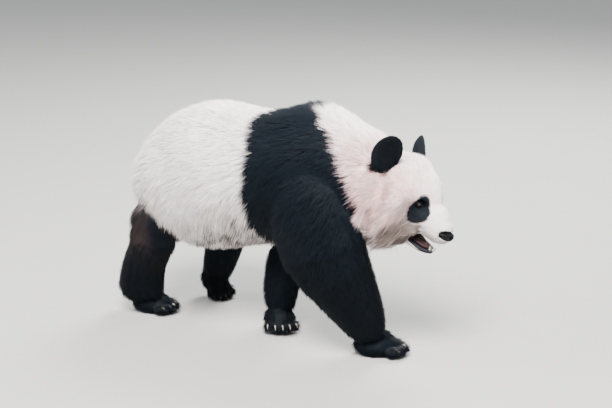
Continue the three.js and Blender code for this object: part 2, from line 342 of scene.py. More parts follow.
# how deep the coat stands and how it lies
coatPlan = {  # one value for each group, down to gather
    "depth": (0.032, 0.028, 0.030, 0.016, 0.002, 0.0045, 0.014, 0.009, 0.010),
    "lift": (30, 28, 30, 26, 18, 38, 26, 18, 20),  # degrees off the skin
    "width": (0.0036, 0.0036, 0.0034, 0.0024, 0.0016, 0.0024, 0.0034, 0.0026, 0.0034),
    "clump": (0.020, 0.018, 0.018, 0.011, 0.007, 0.012, 0.015, 0.008, 0.016),  # how far apart the locks are
    "gather": (0.38, 0.34, 0.38, 0.26, 0.15, 0.25, 0.30, 0.25, 0.30),  # how far a tuft leans to its lock
    "onHead": {"flat": 0.008, "cheek": 0.014, "crown": 0.005, "back": 0.016, "most": 0.030},
    "onFace": 0.62,  # how much less deep it is on the face
    "atEars": ((-0.070, 0.112, 0.070), 0.055, 0.6),  # and round the ears' roots: place, radius, share
    "atEyes": ((0.06, 0.062, 0.0), 0.04, 0.004),  # and round the eyes: place, radius, depth
    "onBelly": 0.006,  # how much deeper it is there
    "least": 0.0022,
    "rooted": 0.0012,  # how far a tuft starts under the skin
    "length": (0.0042, 0.085),  # least and most
    "fringeLength": (0.03, 0.095),
    "fringe": 1.25,  # how much longer and wider its tufts are
    "edgeFiner": 0.35,  # how much finer they are where black meets white
    "edgeLooser": 0.85,  # and how much less they gather there
    "stray": 0.12,  # spread in radians
    "past": 0.006,  # how far a tip may pass the solids' box
    "overFloor": 0.0012,
}
bakePatch = 0.003  # a tuft's size on the skin's unwrap





def faceShare(inHead):  # 1 on the muzzle, 0 behind the brow
    return smooth(0.035, 0.075, inHead[:, 0]) * smooth(0.085, 0.055, np.abs(inHead[:, 1]))


def coatDepth(points, normals, shares):
    plan = coatPlan["onHead"]
    inHead = toHead(points)
    x, y, z = mirrored(inHead).T
    cheek = smooth(0.055, 0.095, y) * smooth(0.03, -0.03, z)
    crown = smooth(0.03, 0.09, z)
    back = smooth(0.0, -0.07, x)
    onHead = plan["flat"] + plan["cheek"] * cheek + plan["crown"] * crown + plan["back"] * back
    onHead = np.minimum(onHead, plan["most"])
    onHead *= 1 - bells(mirrored(inHead), [coatPlan["atEars"]])
    onHead *= 1 - coatPlan["onFace"] * faceShare(inHead)
    onHead -= bells(np.abs(inHead), [coatPlan["atEyes"]])
    depth = shares @ coatPlan["depth"]
    depth += shareOf(shares, "head") * (onHead - coatPlan["depth"][groups.index("head")])
    bellyDirtAndShade = smooth(-0.3, -0.8, normals[:, 2]) * shareOf(shares, "trunk", "shoulders")
    return np.maximum(depth + coatPlan["onBelly"] * bellyDirtAndShade, coatPlan["least"])


def broadened(shares, web, turns=90):  # one big form runs over into the next; head and ears stay sharp
    wide = web.spread(shares, turns)
    own = shares[:, sharpGroups].sum(axis=1, keepdims=True)
    mixed = wide * (1 - own)
    mixed[:, sharpGroups] = 0
    mixed *= (1 - own) / np.maximum(mixed.sum(axis=1, keepdims=True), 1e-6)
    mixed[:, sharpGroups] = shares[:, sharpGroups]
    return mixed


def growEars(points, shares, reach):  # the solids' thin rims come out of the remesh a little small
    inHead = toHead(points)
    earShare = shareOf(shares, "ear")
    for side in (-1, 1):
        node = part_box("ear_left" if side > 0 else "ear_right")
        middle = np.array((Vector(node[0]) + Vector(node[1])) / 2)
        away = points - middle
        far = np.linalg.norm(away, axis=1)
        grow = reach * smooth(0.01, 0.05, far) * earShare * (np.sign(inHead[:, 1]) == side)
        points = points + away / far[:, None] * grow[:, None]
    return points


def fillBridge(points, plan):  # the remesh hollows the step between brow and muzzle
    inHead = toHead(points)
    full = bell(inHead, plan["at"], plan["radius"])
    return points + full[:, None] * plan["rise"] * (headTurn @ unit(np.array(plan["towards"])))


def sinkSkin(skin, plan):
    mesh = skin.data
    web = Web(mesh)
    points = readPoints(mesh)
    shares = groupShares(points, solidTree, solidOwners, web, 10)
    points = growEars(points, shares, plan["earReach"])
    shares = broadened(shares, web)
    normals = unit(web.spread(readNormals(mesh), 4))
    tree = BVHTree.FromPolygons(points.tolist(), [p.vertices[:] for p in mesh.polygons])
    depth = coatDepth(points, normals, shares)
    room = np.full(len(points), 1.0)  # how thick the form is at each point
    for i, (p, n) in enumerate(zip(points, normals)):
        hit = tree.ray_cast(Vector(p - n * 0.0008), Vector(-n), 0.2)
        if hit[3] is not None:
            room[i] = hit[3]
    depth = np.minimum(depth, np.maximum(room * plan["thickest"], plan["thinnest"]))
    depth = web.spread(depth, 12)
    inwards = unit(web.spread(unit(normals), 6))
    points = points - inwards * depth[:, None]
    points = fillBridge(points, plan["bridge"])
    for _ in range(3):
        points += 0.35 * (web.average(points) - points) * np.minimum(depth / 0.02, 1)[:, None]
    writePoints(mesh, points)
    return depth


skinDepth = sinkSkin(skin, skinPlan)
print("skin: sunk by the coat's depth, up to %.0f mm" % (skinDepth.max() * 1000))

eyePlan = {
    "radius": 0.0118,
    "bulge": (0.05, 0.72),  # the clear front: how far it rises, and from where on
    "gaze": (0.80, 0.58, 0.06),  # in the head's frame, for the left eye
    "moved": (0.010, -0.006),  # forward and up in the head's frame, from the solids' place
    "sunk": 0.0088,  # the middle lies this far under the skin
    "halfWide": 0.0098,
    "halfHigh": 0.0068,
    "lid": 0.0016,
    "rimLeast": 0.0066,  # the lids come no nearer to the ball's middle
    "behind": 0.0032,  # in the opening the skin lies this far under the ball's front
    "fold": (0.0010, 1.75, 0.22),  # the crease round the lids: depth, place and width in half openings
    "lidReach": (2.9, 1.45),  # where the lids begin and where they are full, in half openings
    "slant": 16,  # degrees, the outer corner hangs
    "pupil": 0.30,
    "iris": 0.62,
}


def eyeFrame(side, tree):
    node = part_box("eye_left" if side > 0 else "eye_right")
    middle = (Vector(node[0]) + Vector(node[1])) / 2
    middle += Vector(headTurn @ np.array((eyePlan["moved"][0], 0, eyePlan["moved"][1])))
    gaze = Vector(headTurn @ np.array((eyePlan["gaze"][0], side * eyePlan["gaze"][1], eyePlan["gaze"][2])))
    gaze.normalize()
    surface = tree.ray_cast(middle + gaze * 0.06, -gaze, 0.12)[0]
    centre = surface - gaze * eyePlan["sunk"]
    across = gaze.cross(Vector(headTurn[:, 2])).normalized()
    upward = across.cross(gaze).normalized()
    turn = Matrix.Rotation(math.radians(side * eyePlan["slant"]), 3, gaze)
    return centre, gaze, turn @ across, turn @ upward


def shapeLids(skin, plan):
    tree = meshTree(skin.data)
    frames = {side: eyeFrame(side, tree) for side in (-1, 1)}
    for centre, gaze, across, upward in frames.values():
        cutFiner(skin.data, centre + gaze * 0.008, skinPlan["eyeFine"], 2)
    points = readPoints(skin.data)
    deep, foldAt, foldWide = plan["fold"]
    opening = np.full(len(points), 9.0)  # 1 at the lids' edge, in half openings
    for side in (-1, 1):
        centre, gaze, across, upward = [np.array(v) for v in frames[side]]
        away = points - centre
        ahead, x, y = away @ gaze, away @ across, away @ upward
        near = (ahead > -0.004) & (np.hypot(x, y) < 0.034)
        reach = np.hypot(x / plan["halfWide"], (y - 0.0006) / plan["halfHigh"])
        flat = x * x + y * y
        hidden = np.sqrt(np.maximum(plan["radius"] ** 2 - flat, 0)) - plan["behind"]
        rim = np.sqrt(np.maximum((plan["radius"] + plan["lid"]) ** 2 - flat, plan["rimLeast"] ** 2))
        lidded = rim - deep * np.exp(-((reach - foldAt) / foldWide) ** 2)
        onLid = smooth(*plan["lidReach"], reach)
        wanted = ahead * (1 - onLid) + lidded * onLid
        wanted = np.where(reach < 1, hidden + (rim - hidden) * smooth(0.90, 1.0, reach), wanted)
        points[near] += (gaze * (wanted - ahead)[:, None])[near]
        opening[near] = np.minimum(opening, reach)[near]
    writePoints(skin.data, points)
    return frames, opening


eyeFrames, eyeOpening = shapeLids(skin, eyePlan)


def makeEye(side):
    centre, gaze, across, upward = eyeFrames[side]
    shape = bmesh.new()
    bmesh.ops.create_uvsphere(shape, u_segments=40, v_segments=28, radius=eyePlan["radius"])
    rise, start = eyePlan["bulge"]
    for vert in shape.verts:
        ahead = vert.co.z / eyePlan["radius"]
        vert.co *= 1 + rise * max(ahead - start, 0) / (1 - start)
    x, y, z = np.array([v.co for v in shape.verts]).T / eyePlan["radius"]
    turn = Matrix((across, upward, gaze)).transposed()
    bmesh.ops.transform(shape, matrix=Matrix.Translation(centre) @ turn.to_4x4(), verts=shape.verts)
    mesh = meshOf(shape, "eyeball")
    mesh.shade_smooth()
    setAttribute(mesh, "iris", np.where(z > 0, np.hypot(x, y), 2.0))
    setAttribute(mesh, "pupil", np.where(z > 0, np.hypot(x * 1.5, y), 2.0))
    name = "eyeball_left" if side > 0 else "eyeball_right"
    piece = newObject(name, mesh)
    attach(piece, "root")
    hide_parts("eye_left" if side > 0 else "eye_right")
    return piece


eyes = [makeEye(side) for side in (-1, 1)]
print("eyes and lids shaped")

nosePlan = {
    "at": (0.1545, 0, -0.0655),
    "half": (0.0245, 0.0370, 0.0135),
    "square": 2.5,  # 2 is an ellipsoid
    "wings": (0.30, 0.010),  # how much lower and how far back they lie
    "lip": 0.004,  # how far the middle drops to the lip
    "nostril": {"at": (0.0145, 0.0010), "half": (0.0060, 0.0033), "deep": 0.0085, "lean": 28, "curl": 26},
    "groove": (0.0022, 0.0016),  # depth and width
}


def makeNose(plan):
    shape = bmesh.new()
    bmesh.ops.create_icosphere(shape, subdivisions=6, radius=1.0)
    p = np.array([v.co for v in shape.verts])
    power = plan["square"]
    p /= (np.abs(p) ** power).sum(axis=1)[:, None] ** (1 / power)
    local = p * np.array(plan["half"])
    local[:, 2] *= 1 - plan["wings"][0] * smooth(0.2, 1.0, np.abs(p[:, 1]))
    local[:, 0] -= plan["wings"][1] * p[:, 1] ** 2
    local[:, 2] -= plan["lip"] * smooth(0.0, -1, p[:, 2]) * smooth(0.5, 0.0, np.abs(p[:, 1]))
    front = smooth(-0.1, 0.4, p[:, 0])
    hole = np.zeros(len(local))
    nostril = plan["nostril"]
    c, s = math.cos(math.radians(nostril["lean"])), math.sin(math.radians(nostril["lean"]))
    for side in (-1, 1):
        y, z = side * local[:, 1] - nostril["at"][0], local[:, 2] - nostril["at"][1]
        u, w = y * c - z * s, y * s + z * c
        w = w + nostril["curl"] * u * u * (u > 0)  # the comma's tail curls up to the side
        dent = np.exp(-((np.hypot(u / nostril["half"][0], w / nostril["half"][1])) ** 3))
        hole = np.maximum(hole, dent * front)
    local[:, 0] -= nostril["deep"] * hole
    deep, wide = plan["groove"]
    groove = np.exp(-((local[:, 1] / wide) ** 2)) * smooth(0.003, -0.004, local[:, 2]) * front
    local[:, 0] -= deep * groove
    for vert, place in zip(shape.verts, fromHead(local + np.array(plan["at"]))):
        vert.co = place
    mesh = meshOf(shape, "nose_leather")
    mesh.shade_smooth()
    # marks the nostrils and the groove for a darker colour: painted shade in the hollows
    setAttribute(mesh, "hole", np.maximum(hole, 0.6 * groove))
    piece = newObject("nose_leather", mesh)
    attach(piece, "root")
    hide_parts("nose_pad")
    return piece


def makeTongue():
    shape = shapeOf(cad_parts["tongue"].data)
    bmesh.ops.remove_doubles(shape, verts=shape.verts, dist=1e-5)
    piece = newObject("tongue_flesh", meshOf(shape, "tongue_flesh"))
    finer = piece.modifiers.new("finer", "SUBSURF")
    finer.levels = finer.render_levels = 2
    applyModifiers(piece)
    local = toHead(readPoints(piece.data))
    furrow = np.exp(-((local[:, 1] / 0.006) ** 2)) * smooth(0.03, 0.06, local[:, 0])
    local[:, 2] -= 0.003 * furrow
    writePoints(piece.data, fromHead(local))
    # the tongue darkens to near black towards the back: painted shade inside the mouth
    setAttribute(piece.data, "tongueShadeShare", smooth(0.149, 0.132, local[:, 0]))
    piece.data.shade_smooth()
    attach(piece, "root")
    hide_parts("tongue")
    return piece


teethPlan = {
    "gum": -0.1235,  # its height in the head's frame
    "root": 0.004,  # how far a tooth starts under it
    "rounding": 0.0007,
    "teeth": [  # forward, to the left, radius, height, the top's share of the radius, how far it bends back
        (0.128, 0.0165, 0.0031, 0.0084, 0.12, 0.003),
        (0.1405, 0.0025, 0.0022, 0.0042, 0.72, 0),
        (0.1398, 0.0072, 0.0023, 0.0044, 0.72, 0),
        (0.1375, 0.0117, 0.0024, 0.0046, 0.72, 0),
    ],
}


def makeTeeth(plan):
    shape = bmesh.new()
    for forward, left, radius, height, top, bend in plan["teeth"]:
        tall = height + plan["root"]
        for side in (-1, 1):
            made = bmesh.ops.create_cone(shape, cap_ends=True, segments=12, radius1=radius,
                                         radius2=radius * top, depth=tall)
            for vert in made["verts"]:
                t = vert.co.z / tall + 0.5
                vert.co = fromHead((forward + vert.co.x * 0.8 - bend * t * t, side * left + vert.co.y,
                                    plan["gum"] - plan["root"] + t * tall))
    piece = newObject("teeth_lower", meshOf(shape, "teeth_lower"))
    rounded = piece.modifiers.new("rounded", "BEVEL")
    rounded.width, rounded.segments = plan["rounding"], 3
    applyModifiers(piece)
    piece.data.shade_smooth()
    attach(piece, "root")
    return piece


nose = makeNose(nosePlan)
tongue = makeTongue()
teeth = makeTeeth(teethPlan)

clawPlan = {
    "length": 0.016,
    "radius": 0.0036,
    "tip": 0.0004,  # its radius
    "narrow": 0.72,  # width against height
    "steps": 7,
    "sides": 12,
    "hook": 0.007,  # how far the tip drops
    "arch": 0.003,
    "root": 0.009,  # how far it starts inside the toe
    "clear": 0.0012,  # off the floor
    "paws": {  # length and width from its middle, pitch tips the toes down, shown shortens the claws
        "forepaw_right": {"at": (0.872 + shift, -0.028, 0.026), "heading": 26, "pitch": 0,
                          "length": 0.094, "width": 0.066, "shown": 0.50},
        "forepaw_left": {"at": (0.468 + shift, -0.002, 0.026), "heading": -48, "pitch": 0,
                         "length": 0.088, "width": 0.062, "shown": 1.0},
        "hindpaw_right": {"at": (0.0 + shift, -0.100, 0.026), "heading": 14, "pitch": 0,
                          "length": 0.090, "width": 0.062, "shown": 0.15},
        "hindpaw_left": {"at": (0.074 + shift, 0.152, 0.050), "heading": -14, "pitch": 36,
                         "length": 0.076, "width": 0.056, "shown": 0.25},
    },
    "spread": 0.74,
    "reach": 0.86,
    "toes": 5,
}


def clawRoots(paw):
    place = frameOf(paw["at"], paw["heading"], paw["pitch"])
    ahead = Vector((math.cos(math.radians(paw["heading"])), math.sin(math.radians(paw["heading"])), 0))
    roots = []
    for i in range(clawPlan["toes"]):
        fan = 2 * i / (clawPlan["toes"] - 1) - 1
        across = fan * clawPlan["spread"] * paw["width"]
        forward = paw["length"] * clawPlan["reach"] * math.sqrt(1 - 0.42 * fan * fan)
        root = place @ Vector((forward + 0.006, across * 1.04, 0.006))
        root.z = max(root.z, 0.016)
        roots.append((root, ahead, fan))
    return roots


def growRing(shape, ring):  # the cap moves on as a new ring, its points in the old ring's order
    faces = [f for f in ring[0].link_faces if all(v in ring for v in f.verts)]
    grown = bmesh.ops.extrude_face_region(shape, geom=faces)
    bmesh.ops.delete(shape, geom=faces, context="FACES_ONLY")
    moved = [g for g in grown["geom"] if isinstance(g, bmesh.types.BMVert)]
    order = {v: min(range(len(ring)), key=lambda k: (ring[k].co - v.co).length) for v in moved}
    return sorted(moved, key=order.get)


def makeClaws(name, paw, plan):
    shape = bmesh.new()
    sides = plan["sides"]
    girth = plan["radius"] * (0.55 + 0.45 * paw["shown"])
    for root, ahead, fan in clawRoots(paw):
        aside = Vector((-ahead.y, ahead.x, 0))
        course = (ahead + aside * fan * 0.12).normalized()
        ring = bmesh.ops.create_circle(shape, segments=sides, radius=1.0, cap_ends=True)["verts"]
        for step in range(plan["steps"] + 1):
            t = step / plan["steps"]
            along = (plan["length"] * paw["shown"] + plan["root"]) * t - plan["root"]
            drop = plan["hook"] * t * t - plan["arch"] * math.sin(math.pi * t)
            radius = girth * (1 - t**1.6) + plan["tip"]
            centre = root + course * along - Vector((0, 0, drop))
            centre.z = max(centre.z, radius + plan["clear"])
            lean = math.atan2(2 * plan["hook"] * t, plan["length"])
            up = (Vector((0, 0, math.cos(lean))) + course * math.sin(lean)).normalized()
            across = up.cross(course).normalized()
            if step > 0:
                ring = growRing(shape, ring)
            for k, vert in enumerate(ring):
                angle = 2 * math.pi * k / sides
                wide, high = math.cos(angle) * radius * plan["narrow"], math.sin(angle) * radius
                vert.co = centre + across * wide + up * high
    bmesh.ops.recalc_face_normals(shape, faces=shape.faces)
    mesh = meshOf(shape, name)
    mesh.shade_smooth()
    piece = newObject(name, mesh)
    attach(piece, "root")
    return piece


claws = [makeClaws("claws_" + name, paw, clawPlan) for name, paw in clawPlan["paws"].items()]


def drawInClaws(skin):  # the solids' claws go back inside the toes, where the new ones grow out
    points = readPoints(skin.data)
    for paw in clawPlan["paws"].values():
        for root, ahead, fan in clawRoots(paw):
            base = np.array(root - ahead * 0.010)
            ahead = np.array(ahead)
            away = points - base
            along = away @ ahead
            off = np.linalg.norm(away - along[:, None] * ahead, axis=1)
            near = (along > 0.012) & (along < 0.05) & (off < 0.016)
            points[near] -= ahead * (along[near] - 0.012)[:, None] * 0.92
    writePoints(skin.data, points)


drawInClaws(skin)
print("nose, tongue and claws made")

# markings, shared by the skin and the coat
markPlan = {  # places on the body in the frame, those on the head in its own
    "soft": 0.012,
    "bandRear": 0.0,  # x of the shoulder band's rear edge on the flank
    "bandRearBack": 2.5,  # how it swings back over the shoulder
    "bandRearTop": 0.055,  # and how far forward again on the spine
    "bandFront": ((0.30, 0.47, 0.52, 0.572, 0.628, 0.683, 0.723, 0.750, 0.767, 0.785),
                  (0.47, 0.43, 0.386, 0.364, 0.326, 0.278, 0.226, 0.182, 0.146, 0.095)),  # z, and x there
    "thighTop": 0.424,  # the hind black starts at this height
    "thighFront": (0.115, 0.42),  # its front edge under that, and how it slopes forward as it goes down
    "thighLeft": 0.07,  # how much further forward it lies on the left
    "patch": {"at": (0.0655, 0.0635, -0.0165), "faces": (0.79, 0.61, 0.05),
              "half": (0.0285, 0.0460), "lean": 3},
    "earRoot": {"reach": 0.066, "thick": 0.026},
    "thighStain": 0.9,
    "rumpStain": 0.9,
    "faintStain": 0.22,
    "jowl": [((0.060, 0.081, -0.080), 0.031, 1.0), ((0.058, 0.076, -0.110), 0.031, 1.0),
             ((0.042, 0.086, -0.092), 0.040, 0.9)],
    "streaks": {  # grey-brown streaks: how much everywhere there, more of it near the elbow, strength of the streaks, the most; on the belly, where the skin faces down, they are partly dirt and partly painted shade
        "ruff": (0.26, 0, 1.1, 0.8),
        "flank": (0.05, 0.20, 1.3, 0.8),
        "elbow": (0.45, 0, 1.6, 1),
        "bellyDirtAndShade": (0.42, 0.35, 1.3, 1),
    },
    "blush": [((-0.065, 0.110, 0.010), 0.085, 1.25), ((-0.160, 0.120, 0.050), 0.110, 0.60),
              ((-0.012, 0.130, -0.070), 0.080, 0.45)],
    "blushAll": 0.14,
}


def earRoots(points, plan):  # 1 inside a flat oval round each ear
    near = np.zeros(len(points))
    for name in ("ear_left", "ear_right"):
        ear = readPoints(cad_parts[name].data)
        axes = np.linalg.svd(ear - ear.mean(axis=0), full_matrices=False)[2]
        away = points - (ear.min(axis=0) + ear.max(axis=0)) / 2
        through = away @ axes[2]
        around = np.linalg.norm(away - through[:, None] * axes[2], axis=1)
        near = np.maximum(near, smooth(1.08, 0.92, np.hypot(around / plan["reach"], through / plan["thick"])))
    return near


def patchOf(sided, wobble, plan):  # a leaning oval round each eye
    faces = unit(np.array(plan["faces"]))
    inwards = unit(np.array((faces[1], -faces[0], 0.0)))
    away = sided - np.array(plan["at"])
    lean = math.radians(plan["lean"])
    a, b = away @ inwards, away @ np.cross(inwards, faces)
    across, along = a * math.cos(lean) - b * math.sin(lean), a * math.sin(lean) + b * math.cos(lean)
    oval = np.hypot(across / plan["half"][0], along / plan["half"][1]) - 2.2 * wobble
    return smooth(1.10, 0.92, oval) * smooth(-0.040, -0.025, away @ faces)


def stainAndShadeOf(points, normals, share, sided, hind):
    x, y, z = points.T
    flesh = share["trunk"] + share["shoulders"]
    streak = rough(points * np.array((1, 1, 0.24)), 40.0, 5.0)
    streak += 0.5 * rough(points * np.array((1, 1, 0.3)), 90.0, 9.0)
    behind = smooth(-0.375, -0.43, x) * smooth(0.53, 0.42, z) * smooth(0.20, 0.34, z)
    areas = {
        "ruff": smooth(-0.05, -0.13, sided[:, 2]) * smooth(0.06, 0.0, sided[:, 0]) * share["head"],
        "flank": smooth(0.50, 0.37, z) * flesh,
        "elbow": bell(points * np.array((1, 0, 0.7)), (-0.055, 0, 0.275), 0.062) * flesh,
        # where the skin faces down: partly dirt, partly painted shade under the body
        "bellyDirtAndShade": smooth(-0.15, -0.75, normals[:, 2]) * flesh,
    }
    layers = [
        markPlan["thighStain"] * np.clip(4 * hind * (1 - hind), 0, 1),
        markPlan["rumpStain"] * behind * (0.8 + streak),
        markPlan["faintStain"] * np.clip(rough(points, 9.0, 1.0) + 0.15, 0, 1),
        np.clip(3.4 * bells(sided, markPlan["jowl"]) - 0.5, 0, 1),
    ]
    nearElbow = smooth(-0.30, -0.02, x)
    for name, (base, nearby, strength, most) in markPlan["streaks"].items():
        layers.append(areas[name] * np.clip(base + nearby * nearElbow + strength * streak, 0, most))
    return np.max(layers, axis=0)


def marksOf(points, normals, shares):  # black, stain with painted shade under the belly, blush, and an even value for the locks' painted light and shade
    x, y, z = points.T
    plan = markPlan
    soft = plan["soft"]
    wobble = 0.010 * rough(points, 22.0, 3.0) + 0.006 * rough(points, 60.0, 8.0)
    share = dict(zip(groups, shares.T))
    sided = mirrored(toHead(points))
    up = np.maximum(z - 0.6, 0)
    spine = np.exp(-((y / 0.04) ** 2)) * smooth(0.70, 0.74, z)
    rear = plan["bandRear"] - plan["bandRearBack"] * up * up + plan["bandRearTop"] * spine
    front = np.interp(z, *plan["bandFront"])
    band = smooth(-soft, soft, x - rear + wobble) * smooth(-soft, soft, front - x + wobble)
    band *= smooth(0.75, 0.35, share["head"] + share["jaw"] + share["ear"])
    below = plan["thighTop"] - z
    edge = plan["thighFront"][0] + shift + plan["thighFront"][1] * below
    edge += plan["thighLeft"] * smooth(-0.02, 0.08, y)
    hind = smooth(-0.044, 0.028, below + 2 * wobble) * smooth(0.012, -0.012, x - edge + wobble)
    limbs = smooth(0.35, 0.6, share["leg"] + share["paw"] + 4 * wobble) * (1 - smooth(-0.15, -0.25, x))
    limbs = np.maximum(limbs, share["paw"])
    hindLimb = smooth(0.3, 0.6, share["leg"]) * smooth(0.31, 0.27, z) * smooth(-0.15, -0.25, x)
    ears = smooth(0.10, 0.30, share["ear"] + 3 * wobble * (share["ear"] > 0.02))
    ears = np.maximum(ears, earRoots(points, plan["earRoot"]) * (share["head"] + share["neck"]))
    patch = patchOf(sided, wobble, plan["patch"]) * share["head"]
    black = np.max([band, hind, limbs, hindLimb, ears, patch], axis=0)
    stainAndShade = stainAndShadeOf(points, normals, share, sided, hind)
    stainAndShade *= 1 - 0.9 * np.max([band, limbs, ears, patch], axis=0)
    blush = bells(sided, plan["blush"]) + plan["blushAll"]
    blush *= 0.9 + 0.5 * rough(points, 30.0, 4.0)
    return np.stack([black, np.clip(stainAndShade, 0, 1), np.clip(blush, 0, 1), np.ones(len(x))], axis=1)


mouthPlan = {  # in the head's frame: the line between the lips, and half of the gap there
    "forward": (0.052, 0.100, 0.190),
    "line": (-0.099, -0.112, -0.124),
    "gape": (0.004, 0.007, 0.010),
    "corner": 0.058,
    "upperLip": 0.0035,
    "lowerLip": 0.0215,  # how far down the dark of the lips goes
    "cornerSpot": ((0.080, 0.068, -0.104), 0.015),
}


def bareSkin(points, normals, opening, plan):  # lips, lids, the nose's surround and the soles
    inHead = toHead(points)
    hx, hy, hz = inHead.T
    up = normals @ headTurn[:, 2]
    middle = np.interp(hx, plan["forward"], plan["line"])
    gape = np.interp(hx, plan["forward"], plan["gape"])
    above = hz - middle - gape
    beneath = middle - gape - hz
    reach = smooth(plan["corner"] - 0.008, plan["corner"] + 0.004, hx) * smooth(0.080, 0.068, np.abs(hy))
    upper = smooth(plan["upperLip"] + 0.002, plan["upperLip"] - 0.001, above)
    lower = smooth(plan["lowerLip"] + 0.002, plan["lowerLip"] - 0.002, beneath)
    lips = np.where(hz > middle, upper, lower) * reach
    inside = smooth(0.1, 0.6, np.where(hz > middle, -up, up)) * reach
    inside *= smooth(0.006, 0.002, np.maximum(above, beneath))
    toNose = np.linalg.norm((inHead - np.array(nosePlan["at"])) / np.array(nosePlan["half"]), axis=1)
    rim = smooth(1.26, 1.12, toNose)
    cornerSpot = smooth(0.30, 0.55, bell(mirrored(inHead), *plan["cornerSpot"]))
    cleft = np.exp(-((hy / 0.0022) ** 2)) * smooth(0.145, 0.16, hx) * smooth(-0.07, -0.08, hz)
    lids = smooth(1.52, 1.30, opening)
    soles = smooth(0.012, 0.006, points[:, 2]) * smooth(-0.6, -0.9, normals[:, 2])
    return np.max([lips, inside, rim, cleft, lids, soles, cornerSpot], axis=0), inside


layPlan = {
    "courses": {  # along X and Z, on the back and low on the side
        "trunk": ((-0.85, -0.42), (-0.30, -0.95)),
        "shoulders": ((-0.62, -0.70), (-0.34, -0.94)),
        "neck": ((-0.80, -0.50), (-0.45, -0.85)),
        "leg": ((-0.22, -1.0), (-0.10, -1.0)),
        "tail": ((-0.25, -1.0), (-0.25, -1.0)),
    },
    "heights": (0.68, 0.42),  # of the back and of low on the side
    "noseAt": (0.175, 0, -0.085),  # the head's hair runs away from here
    "earAt": (-0.085, 0.085, 0.075),  # and the ears' from here
    "droop": (0.3, 1.3),  # how far the head's hair hangs, and the cheek's
    "pawDown": -0.35,
    "waver": (0.30, 0.22),  # broad and fine turns in the lie
}


def layOf(points, normals, shares, web, plan):
    inHead = toHead(points)
    lay = np.zeros_like(points)
    low = smooth(*plan["heights"], points[:, 2])[:, None]
    for group, courses in plan["courses"].items():
        high, deep = (unit(np.array((forward, 0.0, upward))) for forward, upward in courses)
        lay += shareOf(shares, group)[:, None] * (high * (1 - low) + deep * low)
    droop = plan["droop"][0] * smooth(0.04, -0.08, inHead[:, 2])
    droop += plan["droop"][1] * smooth(0.05, -0.05, inHead[:, 2]) * smooth(0.06, 0.0, inHead[:, 0])
    droop = droop[:, None] * np.array((0, 0, -1.0))
    onHead = unit(unit(inHead - np.array(plan["noseAt"])) + droop) @ headTurn.T
    lay += shareOf(shares, "head", "jaw")[:, None] * onHead
    for side in (-1, 1):
        out = unit(inHead - np.array(plan["earAt"]) * (1, side, 1)) @ headTurn.T
        lay += shareOf(shares, "ear")[:, None] * (np.sign(inHead[:, [1]]) == side) * out
    for paw in clawPlan["paws"].values():
        heading = math.radians(paw["heading"])
        ahead = np.array((math.cos(heading), math.sin(heading), plan["pawDown"]))
        near = smooth(0.20, 0.12, np.linalg.norm(points - np.array(paw["at"]), axis=1))[:, None]
        lay += shareOf(shares, "paw")[:, None] * near * ahead
    turn = plan["waver"][0] * rough(points, 11.0, 2.0) + plan["waver"][1] * rough(points, 34.0, 6.0)
    for _ in range(3):
        lay = web.spread(unit(flattened(lay, normals)), 5)
    lay = unit(flattened(lay, normals))
    return unit(turned(lay, np.cross(normals, lay), turn))


def unwrap(piece):
    bpy.context.view_layer.objects.active = piece
    piece.select_set(True)
    bpy.ops.object.mode_set(mode="EDIT")
    bpy.ops.mesh.select_all(action="SELECT")
    bpy.ops.uv.smart_project(angle_limit=math.radians(66), island_margin=0.001)
    bpy.ops.object.mode_set(mode="OBJECT")
    piece.select_set(False)
    piece.data.uv_layers[0].name = "OFBake"


skin.data.uv_layers.new(name="OFBake")
unwrap(skin)
print("skin unwrapped")


class Hide:  # what the coat reads off the finished skin
    def __init__(self, skin, opening):
        mesh = skin.data
        web = Web(mesh)
        self.points = readPoints(mesh)
        self.normals = unit(web.spread(readNormals(mesh), 3))
        self.shares = groupShares(self.points, solidTree, solidOwners, web, 8)
        self.marks = marksOf(self.points, self.normals, self.shares)
        self.bare, self.inside = bareSkin(self.points, self.normals, opening, mouthPlan)
        self.broad = broadened(self.shares, web)
        self.lay = layOf(self.points, self.normals, self.broad, web, layPlan)
        depth = web.spread(np.array([outsideTree.find_nearest(p)[3] for p in self.points]), 4)
        self.depth = np.minimum(depth, 1.6 * coatDepth(self.points, self.normals, self.broad))
        mesh.calc_loop_triangles()
        self.corners = fetch(mesh.loop_triangles, "vertices", 3, np.int32)
        loops = fetch(mesh.loop_triangles, "loops", 3, np.int32)
        self.places = fetch(mesh.uv_layers["OFBake"].data, "uv", 2)[loops]
        a, b, c = (self.points[self.corners[:, k]] for k in range(3))
        self.areas = np.linalg.norm(np.cross(b - a, c - a), axis=1) / 2


hide = Hide(skin, eyeOpening)
setAttribute(skin.data, "marks", hide.marks)
setAttribute(skin.data, "bare", hide.bare)
setAttribute(skin.data, "inside", hide.inside)
skin.data.shade_smooth()
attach(skin, "root")
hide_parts(*sorted(groupOf))
print("skin: marked,", len(hide.corners), "triangles")

piecePlan = {  # tufts in each piece, and a slot name
    "coat_trunk_right": (46000, "white_coat"),
    "coat_trunk_left": (33000, "white_coat"),
    "coat_shoulders": (42000, "black_coat"),
    "coat_neck": (30000, "white_coat"),
    "coat_crown": (40000, "white_coat"),
    "coat_face": (49000, "white_coat"),
    "coat_forelegs": (34000, "black_coat"),
    "coat_hindlegs": (30000, "black_coat"),
    "coat_paws": (20000, "black_coat"),
    "coat_ears": (13000, "black_coat"),
    "coat_fringe": (13500, "white_coat"),  # long bent hair under the belly, the elbow and the cheeks
}


